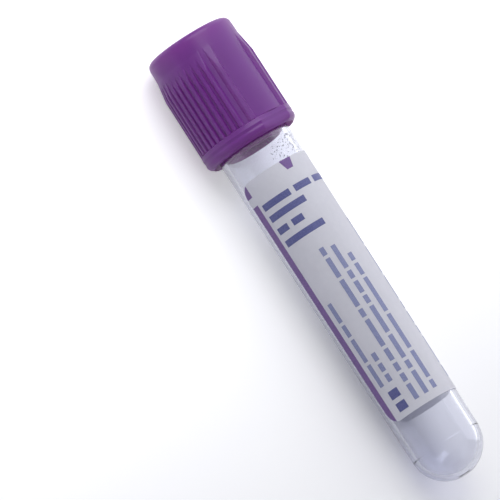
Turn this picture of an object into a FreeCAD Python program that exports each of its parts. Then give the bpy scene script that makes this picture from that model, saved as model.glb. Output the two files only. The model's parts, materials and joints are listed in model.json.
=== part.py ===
"""An evacuated blood collection tube, lying at rest, in millimetres.

Four pieces: a clear round-bottomed tube, its wrapped label, a rubber stopper and the ribbed
closure shield that holds the stopper. Each piece is a PartDesign body in one common frame: the
tube's lowest outer point at the origin, +Z along the tube's axis towards the closure, and +X
through the middle of one smooth panel of the closure. One placement then lays all four bodies
on the floor, where they rest on a flat of the closure's lower ring and on the round bottom.
"""
import FreeCAD, Part
import math
import os

import Sketcher

SIZES = {
    # Tube
    "tube_length": 75.0,             # rim to the outer tip of the round bottom
    "tube_mouth_radius": 6.45,       # outside, at the rim
    "tube_draft": 0.25,              # narrowing from the rim to the round bottom, radially
    "tube_wall": 1.0,
    "rim_rounding": 0.3,
    # Label
    "label_head_drop": 16.3,         # rim to the label's upper edge
    "label_foot_rise": 6.6,          # start of the round bottom to the label's lower edge
    "label_thickness": 0.08,
    "label_adhesive": 0.02,          # between the film and the tube
    "label_corner": 2.5,
    "label_strip_angle": 62.0,       # clear strip between the label's two edges
    "label_strip_middle": 224.0,     # from the upper panel, turning about the tube's +Z
    # Stopper
    "plug_depth": 11.8,              # below the rim
    "plug_clearance": 0.05,          # plug to bore, radially
    "plug_lead": 0.9,                # taper at the plug's foot
    "recess_radius": 3.3,
    "recess_depth": 7.5,
    "flange_gap": 0.65,              # flange to the shield's skirt, radially
    "flange_height": 2.2,
    "neck_clearance": 0.05,          # stopper's neck to the shield's ledge, radially
    "head_radius": 6.0,
    "head_height": 2.4,
    "well_radius": 3.3,
    "well_depth": 4.6,
    # Closure shield, from its bore outwards
    "ledge_radius": 4.95,
    "ledge_height": 1.2,
    "cavity_gap": 0.55,              # shield to the stopper's head, radially
    "skirt_clearance": 0.5,          # skirt to the tube's rim, radially
    "skirt_flare": 0.5,              # widening of the skirt's bore, ledge to open end
    "skirt_wall": 0.5,               # under the panels and groove floors, at the open end
    "skin_draft": 0.16,              # narrowing of the panels and groove floors, ring to rib start
    "rib_height": 0.4,               # rib crests above the groove floors, at the lower ring
    "rib_draft": 0.03,               # narrowing of the rib crests up to their slope
    "ring_projection": 0.05,         # lower ring beyond the rib crests
    "flat_depth": 0.6,               # cut by each of the ring's two flats
    "top_draft": 0.07,               # narrowing from the rib start to the shield's top
    # Closure shield, along the axis
    "shield_rise": 9.2,              # tube's rim to the shield's top
    "shield_height": 20.3,
    "top_wall": 1.3,
    "top_rounding": 1.1,
    "needle_hole_radius": 3.8,
    "rib_slope_drop": 3.4,           # shield's top to the start of the ribs' slope
    "rib_slope_length": 3.4,
    "ring_height": 2.7,
    "ring_rounding": 1.4,
    # Closure shield, round the axis
    "panel_angle": 48.0,             # width of each smooth panel
    "wide_rib_angle": 8.8,
    "wide_groove_angle": 8.2,
    "end_rib_angle": 5.3,            # first narrow rib, from the wide groove to its notch
    "notch_angle": 3.8,              # width of a notch between narrow ribs, at their crests
    "notch_count": 11,               # on each side
}

doc = FreeCAD.newDocument("BloodCollectionTube")
sheet = doc.addObject("Spreadsheet::Sheet", "Sizes")
for row, (alias, size) in enumerate(SIZES.items(), start=1):
    sheet.set(f"A{row}", str(size))
    sheet.setAlias(f"A{row}", alias)
doc.recompute()

# Heights and radii that several pieces share, as expressions over the sheet's cells.
RIM = "Sizes.tube_length"
BASE_RADIUS = "(Sizes.tube_mouth_radius - Sizes.tube_draft)"
BORE_MOUTH = "(Sizes.tube_mouth_radius - Sizes.tube_wall)"
TAPER = f"Sizes.tube_draft / (Sizes.tube_length - {BASE_RADIUS})"
PLUG_FOOT = f"{RIM} - Sizes.plug_depth"
LEDGE_FOOT = f"{RIM} + Sizes.flange_height"
LEDGE_HEAD = f"{LEDGE_FOOT} + Sizes.ledge_height"
HEAD_TOP = f"{LEDGE_HEAD} + Sizes.head_height"
SHIELD_TOP = f"{RIM} + Sizes.shield_rise"
SHIELD_FOOT = f"{SHIELD_TOP} - Sizes.shield_height"
RING_TOP = f"{SHIELD_FOOT} + Sizes.ring_height"
RIB_START = f"{SHIELD_TOP} - Sizes.rib_slope_drop"
RIB_FULL = f"{RIB_START} - Sizes.rib_slope_length"
SKIRT_ROOT = "(Sizes.tube_mouth_radius + Sizes.skirt_clearance)"
SKIRT_MOUTH = f"({SKIRT_ROOT} + Sizes.skirt_flare)"
SKIN_FOOT = f"({SKIRT_MOUTH} + Sizes.skirt_wall)"
SKIN_TOP = f"({SKIN_FOOT} - Sizes.skin_draft)"
TOP_RADIUS = f"({SKIN_TOP} - Sizes.top_draft)"
CREST_FOOT = f"({SKIN_FOOT} + Sizes.rib_height)"
CREST_TOP = f"({CREST_FOOT} - Sizes.rib_draft)"
RING_RADIUS = f"({CREST_FOOT} + Sizes.ring_projection)"
FLAT_DISTANCE = f"({RING_RADIUS} - Sizes.flat_depth)"
CUT_REACH = f"(2 * {RING_RADIUS})"   # well outside the closure
LEFT_TURN, RIGHT_TURN = 1, -1


def reading(expression):
    """Give the present value of an expression over the sheet's cells."""
    return float(sheet.evalExpression(expression))


def rounding_height(radius):
    """Give the height at which the ring's rounded lower edge has the given radius."""
    inset = f"({radius} - {RING_RADIUS} + Sizes.ring_rounding)"
    return f"{SHIELD_FOOT} + Sizes.ring_rounding - sqrt(Sizes.ring_rounding ^ 2 - {inset} ^ 2)"


def add_body(label):
    body = doc.addObject("PartDesign::Body", label)
    body.Label = label
    return body


def add_sketch(body, name, role, turn=None, height=None):
    """Attach a sketch to an origin plane, turned about the tube's axis or raised along it."""
    plane = next(f for f in body.Origin.OriginFeatures if f.Role == role)
    sketch = body.newObject("Sketcher::SketchObject", name)
    sketch.AttachmentSupport = [(plane, "")]
    sketch.MapMode = "FlatFace"
    if turn is not None:
        spin = FreeCAD.Vector(0, 0, 1) if role == "XY_Plane" else FreeCAD.Vector(0, 1, 0)
        sketch.AttachmentOffset = FreeCAD.Placement(FreeCAD.Vector(), FreeCAD.Rotation(spin, 1))
        sketch.setExpression("AttachmentOffset.Rotation.Angle", turn)
    if height is not None:
        sketch.setExpression("AttachmentOffset.Base.z", height)
    return sketch


def fix_point(sketch, geometry, position, across, along):
    """Place one point of a sketch by expressions; a coordinate given as None stays free."""
    for kind, name, expression in (("DistanceX", "across", across), ("DistanceY", "along", along)):
        if expression is None:
            continue
        if expression == "0":
            axis = -2 if kind == "DistanceX" else -1
            sketch.addConstraint(Sketcher.Constraint("PointOnObject", geometry, position, axis))
            continue
        index = sketch.addConstraint(Sketcher.Constraint(
            kind, -1, 1, geometry, position, reading(expression)))
        label = f"{name}_{geometry}_{position}"
        sketch.renameConstraint(index, label)
        sketch.setExpression(f"Constraints.{label}", expression)


def add_outline(sketch, corners):
    """Draw a closed outline, each corner placed by two expressions.

    A side is straight, unless its first corner goes on with a radius and a turn: then the side
    is an arc that turns to the left (1) or to the right (-1) on its way to the next corner.
    """
    first = sketch.GeometryCount
    points = [FreeCAD.Vector(reading(across), reading(along), 0) for across, along, *_ in corners]
    ends = []
    for (_, _, *arc), start, end in zip(corners, points, points[1:] + points[:1]):
        if arc:
            chord = end - start
            radius = reading(arc[0])
            rise = radius - math.sqrt(radius ** 2 - chord.Length ** 2 / 4)
            outward = FreeCAD.Vector(chord.y, -chord.x, 0).normalize() * arc[1]
            side = Part.Arc(start, start + chord / 2 + outward * rise, end)
            ends.append((1, 2) if arc[1] == LEFT_TURN else (2, 1))
        else:
            side = Part.LineSegment(start, end)
            ends.append((1, 2))
        sketch.addGeometry(side, False)
    for step, (across, along, *arc) in enumerate(corners):
        previous = (step - 1) % len(corners)
        begin = ends[step][0]
        sketch.addConstraint(Sketcher.Constraint(
            "Coincident", first + previous, ends[previous][1], first + step, begin))
        fix_point(sketch, first + step, begin, across, along)
        if arc:
            bind_radius(sketch, first + step, arc[0])


def bind_radius(sketch, geometry, expression):
    index = sketch.addConstraint(Sketcher.Constraint("Radius", geometry, reading(expression)))
    sketch.renameConstraint(index, f"radius_{geometry}")
    sketch.setExpression(f"Constraints.radius_{geometry}", expression)


def add_turned(body, kind, name, sketch, angle=None):
    """Turn a sketch round the tube's axis: all the way, or by half an angle to each side."""
    turned = body.newObject(kind, name)
    turned.Profile = sketch
    turned.ReferenceAxis = (sketch, ["V_Axis"])
    turned.Angle = 360
    if angle is not None:
        turned.Midplane = True
        turned.setExpression("Angle", angle)
    doc.recompute()
    return turned


def add_cut(body, kind, name, sketch, angle=None, length=None, reverse=False):
    """Cut a sketch out of the body, turned about the axis or run along it."""
    if kind == "PartDesign::Groove":
        cut = add_turned(body, kind, name, sketch, angle=angle)
    else:
        cut = body.newObject(kind, name)
        cut.Profile = sketch
        cut.Reversed = reverse
        cut.setExpression("Length", length)
    body.Tip = cut
    doc.recompute()
    return cut


def add_polar(body, name, feature, count, angle):
    """Repeat a feature round the tube's axis, with its copies over the stated angle."""
    pattern = body.newObject("PartDesign::PolarPattern", name)
    pattern.Originals = [feature]
    axis = next(f for f in body.Origin.OriginFeatures if f.Role == "Z_Axis")
    pattern.Axis = (axis, [""])
    pattern.setExpression("Occurrences", count)
    pattern.setExpression("Angle", angle)
    body.Tip = pattern
    doc.recompute()
    return pattern


def add_fillet(body, name, radius, wanted):
    """Round the tip's edges that the given test picks."""
    base = body.Tip
    edges = [f"Edge{i}" for i, edge in enumerate(base.Shape.Edges, start=1)
             if not edge.Degenerated and wanted(edge)]
    fillet = body.newObject("PartDesign::Fillet", name)
    fillet.Base = (base, edges)
    fillet.setExpression("Radius", radius)
    body.Tip = fillet
    doc.recompute()


def rim_edge(radius, height):
    """Give a test for the full circle of that radius at that height."""
    radius, height = reading(radius), reading(height)

    def wanted(edge):
        circle = edge.Curve
        return (isinstance(circle, Part.Circle) and abs(circle.Radius - radius) < 1e-4
                and abs(circle.Center.z - height) < 1e-4)
    return wanted


def make_tube():
    """A round bottom that runs tangent into a slightly tapered wall, open at the rim."""
    body = add_body("tube")
    sketch = add_sketch(body, "TubeSection", "XZ_Plane")
    base, wall = reading(BASE_RADIUS), reading("Sizes.tube_wall")
    mouth, rim = reading("Sizes.tube_mouth_radius"), reading(RIM)
    centre = FreeCAD.Vector(0, base, 0)
    for radius, top in ((base, mouth), (base - wall, mouth - wall)):
        circle = Part.Circle(centre, FreeCAD.Vector(0, 0, 1), radius)
        sketch.addGeometry(Part.ArcOfCircle(circle, -math.pi / 2, 0), False)
        sketch.addGeometry(Part.LineSegment(
            FreeCAD.Vector(radius, base, 0), FreeCAD.Vector(top, rim, 0)), False)
    outer_dome, outer_wall, inner_dome, inner_wall = range(4)
    sketch.addGeometry(Part.LineSegment(
        FreeCAD.Vector(mouth, rim, 0), FreeCAD.Vector(mouth - wall, rim, 0)), False)
    sketch.addGeometry(Part.LineSegment(
        FreeCAD.Vector(0, 0, 0), FreeCAD.Vector(0, wall, 0)), False)
    rim_face, axis_side = 4, 5
    for dome, side in ((outer_dome, outer_wall), (inner_dome, inner_wall)):
        sketch.addConstraint(Sketcher.Constraint("Tangent", dome, 2, side, 1))
    for one, one_end, other, other_end in (
            (outer_wall, 2, rim_face, 1), (inner_wall, 2, rim_face, 2),
            (axis_side, 1, outer_dome, 1), (axis_side, 2, inner_dome, 1),
            (outer_dome, 3, inner_dome, 3)):
        sketch.addConstraint(Sketcher.Constraint("Coincident", one, one_end, other, other_end))
    fix_point(sketch, outer_dome, 3, "0", BASE_RADIUS)
    fix_point(sketch, outer_dome, 1, "0", None)
    fix_point(sketch, inner_dome, 1, "0", None)
    for dome, radius in ((outer_dome, BASE_RADIUS),
                         (inner_dome, f"{BASE_RADIUS} - Sizes.tube_wall")):
        bind_radius(sketch, dome, radius)
    fix_point(sketch, outer_wall, 2, "Sizes.tube_mouth_radius", RIM)
    fix_point(sketch, inner_wall, 2, BORE_MOUTH, None)
    body.Tip = add_turned(body, "PartDesign::Revolution", "TubeWall", sketch)
    for name, radius in (("OuterRim", "Sizes.tube_mouth_radius"), ("InnerRim", BORE_MOUTH)):
        add_fillet(body, name, "Sizes.rim_rounding", rim_edge(radius, RIM))
    return body


def make_label():
    """A film that follows the tube's taper and stops short of closing round it."""
    body = add_body("label")
    strip = "Sizes.label_strip_middle"
    sketch = add_sketch(body, "LabelSection", "XZ_Plane", turn=f"{strip} + 180")
    inside = "Sizes.label_adhesive"
    outside = "Sizes.label_adhesive + Sizes.label_thickness"
    head = f"{RIM} - Sizes.label_head_drop"
    foot = f"{BASE_RADIUS} + Sizes.label_foot_rise"
    corners = [(f"{BASE_RADIUS} + ({height} - {BASE_RADIUS}) * {TAPER} + {lift}", height)
               for height, lift in ((head, inside), (head, outside), (foot, outside), (foot, inside))]
    add_outline(sketch, corners)
    body.Tip = add_turned(body, "PartDesign::Revolution", "LabelFilm", sketch,
                          angle="360 - Sizes.label_strip_angle")
    corner = "Sizes.label_corner"
    for name, side in (("FirstEdge", 1), ("LastEdge", -1)):
        trim = add_sketch(body, f"{name}Corners", "YZ_Plane",
                          turn=f"{strip} + {side} * Sizes.label_strip_angle / 2")
        beside, within = f"{-side} * {corner}", f"{side} * {corner}"
        for end, outward in ((head, 1), (foot, -1)):
            beyond = f"{end} + {outward} * {corner}"
            arc_start = f"{end} - {outward} * {corner}"
            add_outline(trim, [
                (beside, beyond),
                (beside, arc_start),
                ("0", arc_start, corner, -side * outward),
                (within, end),
                (within, beyond)])
        add_cut(body, "PartDesign::Pocket", f"{name}Trim", trim, reverse=True,
                length="Sizes.tube_mouth_radius + Sizes.label_adhesive + Sizes.label_thickness")
    return body


def make_stopper():
    """The rubber stopper: recess, plug, flange on the rim, neck through the ledge, head, well."""
    body = add_body("stopper")
    sketch = add_sketch(body, "StopperSection", "XZ_Plane")
    plug_mouth = f"{BORE_MOUTH} - Sizes.plug_clearance"
    plug_foot = f"{plug_mouth} - Sizes.plug_depth * {TAPER}"
    flange = f"{SKIRT_ROOT} - Sizes.flange_gap"
    neck = "Sizes.ledge_radius - Sizes.neck_clearance"
    recess_top = f"{PLUG_FOOT} + Sizes.recess_depth"
    well_floor = f"{HEAD_TOP} - Sizes.well_depth"
    add_outline(sketch, [
        ("0", recess_top),
        ("Sizes.recess_radius", recess_top),
        ("Sizes.recess_radius", PLUG_FOOT),
        (f"{plug_foot} - Sizes.plug_lead / 2", PLUG_FOOT),
        (plug_foot, f"{PLUG_FOOT} + Sizes.plug_lead"),
        (plug_mouth, RIM),
        (flange, RIM),
        (flange, LEDGE_FOOT),
        (neck, LEDGE_FOOT),
        (neck, LEDGE_HEAD),
        ("Sizes.head_radius", LEDGE_HEAD),
        ("Sizes.head_radius", HEAD_TOP),
        ("Sizes.well_radius", HEAD_TOP),
        ("Sizes.well_radius", well_floor),
        ("0", well_floor)])
    body.Tip = add_turned(body, "PartDesign::Revolution", "StopperBody", sketch)
    return body


def make_shield():
    """The closure's shell, then the panels, grooves and notches that leave its ribs standing."""
    body = add_body("closure_shield")
    sketch = add_sketch(body, "ShieldSection", "XZ_Plane")
    cavity = "Sizes.head_radius + Sizes.cavity_gap"
    add_outline(sketch, [
        ("Sizes.needle_hole_radius", SHIELD_TOP),
        ("Sizes.needle_hole_radius", f"{SHIELD_TOP} - Sizes.top_wall"),
        (cavity, f"{SHIELD_TOP} - Sizes.top_wall"),
        (cavity, LEDGE_HEAD),
        ("Sizes.ledge_radius", LEDGE_HEAD),
        ("Sizes.ledge_radius", LEDGE_FOOT),
        (SKIRT_ROOT, LEDGE_FOOT),
        (SKIRT_MOUTH, rounding_height(SKIRT_MOUTH), "Sizes.ring_rounding", LEFT_TURN),
        (RING_RADIUS, f"{SHIELD_FOOT} + Sizes.ring_rounding"),
        (RING_RADIUS, RING_TOP),
        (CREST_FOOT, RING_TOP),
        (CREST_TOP, RIB_FULL),
        (SKIN_TOP, RIB_START),
        (TOP_RADIUS, SHIELD_TOP)])
    body.Tip = add_turned(body, "PartDesign::Revolution", "ShieldShell", sketch)
    add_fillet(body, "TopEdge", "Sizes.top_rounding", rim_edge(TOP_RADIUS, SHIELD_TOP))

    def skin_cut(name, turn, angle):
        """Cut the ribs away down to the skin, over an angle and on both sides of the closure."""
        outline = add_sketch(body, f"{name}Outline", "XZ_Plane", turn=turn)
        add_outline(outline, [
            (SKIN_TOP, RIB_START),
            (SKIN_FOOT, RING_TOP),
            (CUT_REACH, RING_TOP),
            (CUT_REACH, RIB_START)])
        cut = add_cut(body, "PartDesign::Groove", name, outline, angle=angle)
        add_polar(body, f"{name}Pair", cut, "2", "360")

    skin_cut("Panel", "0", "Sizes.panel_angle")
    groove_middle = "Sizes.panel_angle / 2 + Sizes.wide_rib_angle + Sizes.wide_groove_angle / 2"
    skin_cut("GrooveAfterPanel", groove_middle, "Sizes.wide_groove_angle")
    skin_cut("GrooveBeforePanel", f"-({groove_middle})", "Sizes.wide_groove_angle")

    first_notch = (f"{groove_middle} + Sizes.wide_groove_angle / 2 + Sizes.end_rib_angle"
                   " + Sizes.notch_angle / 2")
    crest_half = f"{CREST_FOOT} * tan(Sizes.notch_angle / 2)"
    reach_half = f"{crest_half} * ({CUT_REACH} - {SKIN_FOOT}) / Sizes.rib_height"
    for name, turn in (("NearNotch", first_notch), ("FarNotch", f"{first_notch} + 180")):
        outline = add_sketch(body, f"{name}Outline", "XY_Plane", turn=turn, height=RING_TOP)
        add_outline(outline, [
            (SKIN_FOOT, "0"),
            (CUT_REACH, reach_half),
            (CUT_REACH, f"-({reach_half})")])
        notch = add_cut(body, "PartDesign::Pocket", name, outline, reverse=True,
                        length=f"{RIB_START} - ({RING_TOP})")
        add_polar(body, f"{name}Row", notch, "Sizes.notch_count", f"180 - 2 * ({first_notch})")

    flat = add_sketch(body, "RingFlatOutline", "XY_Plane", height=RING_TOP)
    add_outline(flat, [
        (FLAT_DISTANCE, CUT_REACH),
        (FLAT_DISTANCE, f"-{CUT_REACH}"),
        (CUT_REACH, f"-{CUT_REACH}"),
        (CUT_REACH, CUT_REACH)])
    cut = add_cut(body, "PartDesign::Pocket", "RingFlat", flat,
                  length="Sizes.ring_height")
    add_polar(body, "RingFlatPair", cut, "2", "360")
    return body


def lay_down(bodies):
    """Lay the pieces on the floor, on a ring flat's lower edge and the round bottom.

    The box of the whole is centred over the origin, and the closure points to -X.
    """
    flat_foot = rounding_height(FLAT_DISTANCE)
    reach = f"({flat_foot} - {BASE_RADIUS})"
    tilt = (f"(acos({BASE_RADIUS} / sqrt({reach} ^ 2 + {FLAT_DISTANCE} ^ 2))"
            f" - atan({reach} / {FLAT_DISTANCE}))")
    closure_reach = (f"(({TOP_RADIUS} - Sizes.top_rounding) * sin({tilt})"
                     f" + ({SHIELD_TOP} - Sizes.top_rounding) * cos({tilt}) + Sizes.top_rounding)")
    tip_reach = f"({BASE_RADIUS} * (1 - cos({tilt})))"
    for body in bodies:
        body.Placement = FreeCAD.Placement(
            FreeCAD.Vector(), FreeCAD.Rotation(FreeCAD.Vector(0, -1, 0), 90))
        body.setExpression("Placement.Rotation.Angle", f"90 deg - {tilt}")
        body.setExpression("Placement.Base.x", f"({closure_reach} - {tip_reach}) / 2")
        body.setExpression("Placement.Base.z", f"{BASE_RADIUS} * (1 - sin({tilt}))")
    doc.recompute()
    print(f"tilt of the tube's axis at rest: {reading(tilt):.3f} degrees")


def export(bodies):
    """Check every object and every piece, then write one file for each piece."""
    failed = [obj.Name for obj in doc.Objects if {"Invalid", "Error"} & set(obj.State)]
    if failed:
        raise RuntimeError(f"objects that did not compute: {failed}")
    for body in bodies:
        if body.Shape.isNull() or not body.Shape.isValid() or len(body.Shape.Solids) != 1:
            raise RuntimeError(f"{body.Label} is not one valid solid")
    os.makedirs("parts", exist_ok=True)
    for body in bodies:
        body.Shape.exportStep(f"parts/{body.Label}.step")
        print(f"{body.Label}: {body.Shape.Volume:.2f} mm3")


pieces = [make_tube(), make_label(), make_stopper(), make_shield()]
lay_down(pieces)
export(pieces)
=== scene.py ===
"""Dress a lying blood collection tube: clear tube, printed label, ribbed closure and stopper.

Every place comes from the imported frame. The tube's own coordinates have their origin at the outer
tip of its round bottom, +Z along its axis to the closure, and +X up through the middle of the
closure's upper smooth panel. Sizes are in millimetres until they go into a mesh.
"""
import json
import logging
import math
import random
from dataclasses import dataclass
from enum import Enum
from functools import partial

import bmesh
import bpy
from bpy.types import ID, Material, Mesh, Node, NodeSocket, NodeTree, Object
from mathutils import Matrix, Vector


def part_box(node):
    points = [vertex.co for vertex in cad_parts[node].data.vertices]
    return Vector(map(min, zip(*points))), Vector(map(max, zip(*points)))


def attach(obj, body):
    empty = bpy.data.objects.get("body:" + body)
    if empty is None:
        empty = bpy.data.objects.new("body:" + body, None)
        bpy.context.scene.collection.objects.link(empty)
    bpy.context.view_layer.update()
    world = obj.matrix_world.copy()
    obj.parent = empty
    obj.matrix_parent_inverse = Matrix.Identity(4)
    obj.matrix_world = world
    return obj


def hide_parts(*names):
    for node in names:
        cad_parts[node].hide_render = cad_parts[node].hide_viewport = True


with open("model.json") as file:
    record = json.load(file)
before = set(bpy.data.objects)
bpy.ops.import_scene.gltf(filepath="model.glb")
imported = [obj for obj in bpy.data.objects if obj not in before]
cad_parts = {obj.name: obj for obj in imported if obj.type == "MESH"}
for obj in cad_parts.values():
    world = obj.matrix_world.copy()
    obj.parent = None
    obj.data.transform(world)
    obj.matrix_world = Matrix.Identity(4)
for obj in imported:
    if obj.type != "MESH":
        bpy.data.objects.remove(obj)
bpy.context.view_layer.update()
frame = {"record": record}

log = logging.getLogger("blood_collection_tube")
MM = 0.001                       # metres in a millimetre
VIEWED_TURN = -43.7              # degrees from the upper panel to the side that is looked at
FILM_RADIUS = 6.45               # mm, of the label's face at its middle
ON_AXIS = 1e-6                   # mm, a radius under this counts as none
LAST_NOTCH = 5                   # a quarter's notches are counted from its middle one, 0
Point = tuple[float, float]      # across and along a profile
Profile = list[Point]


class Body(Enum):
    """The bodies that the pieces ride on."""

    TUBE = "tube"
    CLOSURE = "closure"


class Slot(Enum):
    """The record's material slots."""

    PET = "clear_pet"
    FILM = "label_film"
    RUBBER = "stopper_rubber"
    POLYETHYLENE = "closure_polyethylene"


# ---------------------------------------------------------------- small tools

def linear(colour: str) -> tuple[float, float, float, float]:
    """Turn an sRGB hex colour into linear values with full alpha.

    Args:
        colour: The colour as "#rrggbb".

    Returns:
        Linear red, green, blue and an alpha of 1.
    """
    parts = [int(colour[i:i + 2], 16) / 255 for i in (1, 3, 5)]
    turned = [c / 12.92 if c <= 0.04045 else ((c + 0.055) / 1.055) ** 2.4 for c in parts]
    return (*turned, 1.0)


def add_node(tree: NodeTree, kind: str, settings: dict | None = None, **links: object) -> Node:
    """Add a node with its settings, and link or set its inputs.

    Args:
        tree: The tree that gets the node.
        kind: The node's type name.
        settings: Attributes of the node, set before its inputs.
        **links: Inputs by name (spaces as underscores) or by i and a number. A socket is linked
            and anything else is set as the input's value.

    Returns:
        The new node.
    """
    node = tree.nodes.new(kind)
    for name, value in (settings or {}).items():
        setattr(node, name, value)
    for name, value in links.items():
        numbered = name[0] == "i" and name[1:].isdigit()
        socket = node.inputs[int(name[1:])] if numbered else node.inputs[name.replace("_", " ")]
        if isinstance(value, NodeSocket):
            tree.links.new(value, socket)
        else:
            socket.default_value = value
    return node


def maths(tree: NodeTree, operation: str, *values: object) -> NodeSocket:
    """Add one Math node.

    Args:
        tree: The tree that gets the node.
        operation: The Math node's operation.
        *values: Its inputs in order, as sockets or numbers.

    Returns:
        The result's socket.
    """
    inputs = {f"i{i}": value for i, value in enumerate(values)}
    return add_node(tree, "ShaderNodeMath", {"operation": operation}, **inputs).outputs[0]


def new_material(name: str) -> tuple[Material, NodeTree, Node]:
    """Make an empty node material.

    Args:
        name: The material's name.

    Returns:
        The material, its tree and its Principled shader, already linked to the output.
    """
    material = bpy.data.materials.new(name)
    material.use_nodes = True
    tree = material.node_tree
    tree.nodes.clear()
    shader = add_node(tree, "ShaderNodeBsdfPrincipled")
    add_node(tree, "ShaderNodeOutputMaterial", Surface=shader.outputs[0])
    return material, tree, shader


@dataclass(frozen=True)
class TubeFrame:
    """The lying tube's own coordinates, read from the frame."""

    matrix: Matrix

    @classmethod
    def read(cls, base_radius: float) -> "TubeFrame":
        """Find the tube's axis and tip.

        Args:
            base_radius: The round bottom's outer radius in millimetres.

        Returns:
            The tube's coordinates, as a matrix from millimetres to metres.
        """
        along = Vector(frame["record"]["behaviour"]["joints"][0]["axis"]).normalized()
        across = Vector((0, 1, 0))
        up = across.cross(along).normalized()
        radius = base_radius * MM
        centre = Vector((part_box("tube")[1].x - radius, 0, radius))
        tip = centre - radius * along
        turn = Matrix((up, across, along)).transposed().to_4x4()
        return cls(Matrix.Translation(tip) @ turn @ Matrix.Scale(MM, 4))

    def point(self, x: float, y: float, z: float) -> Vector:
        """Give the place in metres of a point of the tube's own coordinates."""
        return self.matrix @ Vector((x, y, z))

    def direction(self, x: float, y: float, z: float) -> Vector:
        """Give the unit direction of a vector of the tube's own coordinates."""
        return (self.matrix.to_3x3() @ Vector((x, y, z))).normalized()


def arc(centre: Point, radius: float, start: float, end: float, steps: int) -> Profile:
    """Give points along an arc of a profile.

    Args:
        centre: Its centre, across and along, in millimetres.
        radius: Its radius in millimetres.
        start: The first point's angle in degrees, from the outward direction.
        end: The last point's angle in degrees.
        steps: How many stretches the arc has.

    Returns:
        The arc's points, both ends among them.
    """
    turns = [math.radians(start + (end - start) * i / steps) for i in range(steps + 1)]
    return [(centre[0] + radius * math.cos(t), centre[1] + radius * math.sin(t)) for t in turns]


def run(start: Point, end: Point, steps: int) -> Profile:
    """Give points along a straight stretch of a profile, without its last one."""
    return [(start[0] + (end[0] - start[0]) * i / steps,
             start[1] + (end[1] - start[1]) * i / steps) for i in range(steps)]


def revolve(name: str, profile: Profile, columns: list[float], closed: bool) -> Mesh:
    """Turn a profile round the tube's axis into a closed mesh.

    Args:
        name: The mesh's name.
        profile: Its points, radius and height in millimetres; on a radius of zero a single point.
        columns: The angles of the columns in degrees, all the way round.
        closed: Whether the last point of the profile joins the first.

    Returns:
        The mesh, in millimetres, with its faces pointing outwards.
    """
    mesh = bpy.data.meshes.new(name)
    turns = [(math.cos(math.radians(a)), math.sin(math.radians(a))) for a in columns]
    points: list[tuple[float, float, float]] = []
    rings: list[list[int]] = []
    for radius, height in profile:
        start = len(points)
        if radius < ON_AXIS:
            points.append((0.0, 0.0, height))
            rings.append([start] * len(columns))
        else:
            points += [(radius * c, radius * s, height) for c, s in turns]
            rings.append(list(range(start, start + len(columns))))
    faces = []
    pairs = list(zip(rings, rings[1:] + rings[:1])) if closed else list(zip(rings, rings[1:]))
    for lower, upper in pairs:
        for i in range(len(columns)):
            j = (i + 1) % len(columns)
            corners = list(dict.fromkeys((lower[i], lower[j], upper[j], upper[i])))
            if len(corners) > 2:
                faces.append(corners)
    mesh.from_pydata(points, [], faces)
    point_outwards(mesh)
    return mesh


def new_object(name: str, data: ID) -> Object:
    """Put a mesh, a lamp or a camera into the scene.

    Args:
        name: The object's name.
        data: What it shows.

    Returns:
        The object.
    """
    made = bpy.data.objects.new(name, data)
    bpy.context.scene.collection.objects.link(made)
    return made


def point_outwards(mesh: Mesh) -> None:
    """Turn a closed mesh's faces outwards and shade them smooth.

    Args:
        mesh: The mesh, which is changed in place.
    """
    work = bmesh.new()
    work.from_mesh(mesh)
    bmesh.ops.recalc_face_normals(work, faces=work.faces)
    for face in work.faces:
        face.smooth = True
    work.to_mesh(mesh)
    work.free()


def sharpen(mesh: Mesh, angle: float) -> None:
    """Keep the edges crisp where two faces meet at more than an angle in degrees."""
    mesh.set_sharp_from_angle(angle=math.radians(angle))


def place(mesh: Mesh, place_in: TubeFrame, material: Material | None, body: Body, slot: Slot,
          *nodes: str) -> None:
    """Put a finished mesh in its place on its body, and hide the CAD nodes that it stands for.

    Args:
        mesh: The mesh, in the tube's own coordinates; its name becomes the piece's.
        place_in: The tube's own coordinates.
        material: The material, or None where the mesh has its own.
        body: The body that it rides on.
        slot: The record's material slot; not used.
        *nodes: The CAD nodes that it stands for.
    """
    mesh.transform(place_in.matrix)
    if material is not None:
        mesh.materials.clear()
        mesh.materials.append(material)
    piece = new_object(mesh.name, mesh)
    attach(piece, body.value)
    if nodes:
        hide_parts(*nodes)
    log.info("%s: %d faces, rides on %s", piece.name, len(mesh.polygons), body.value)


def apply_tree(mesh: Mesh, tree: NodeTree, sizes: dict[str, float]) -> Mesh:
    """Run a Geometry Nodes tree on a mesh.

    Args:
        mesh: The mesh that goes in.
        tree: The tree.
        sizes: Values for the tree's named inputs.

    Returns:
        A plain mesh of what comes out.
    """
    holder = new_object(mesh.name + "_work", mesh)
    modifier = holder.modifiers.new("tree", "NODES")
    modifier.node_group = tree
    for item in tree.interface.items_tree:
        if item.item_type == "SOCKET" and item.in_out == "INPUT" and item.name in sizes:
            modifier[item.identifier] = sizes[item.name]
    depsgraph = bpy.context.evaluated_depsgraph_get()
    result = bpy.data.meshes.new_from_object(holder.evaluated_get(depsgraph), depsgraph=depsgraph)
    holder.modifiers.clear()
    name = mesh.name
    bpy.data.objects.remove(holder)
    bpy.data.meshes.remove(mesh)
    result.name = name
    return result


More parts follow.
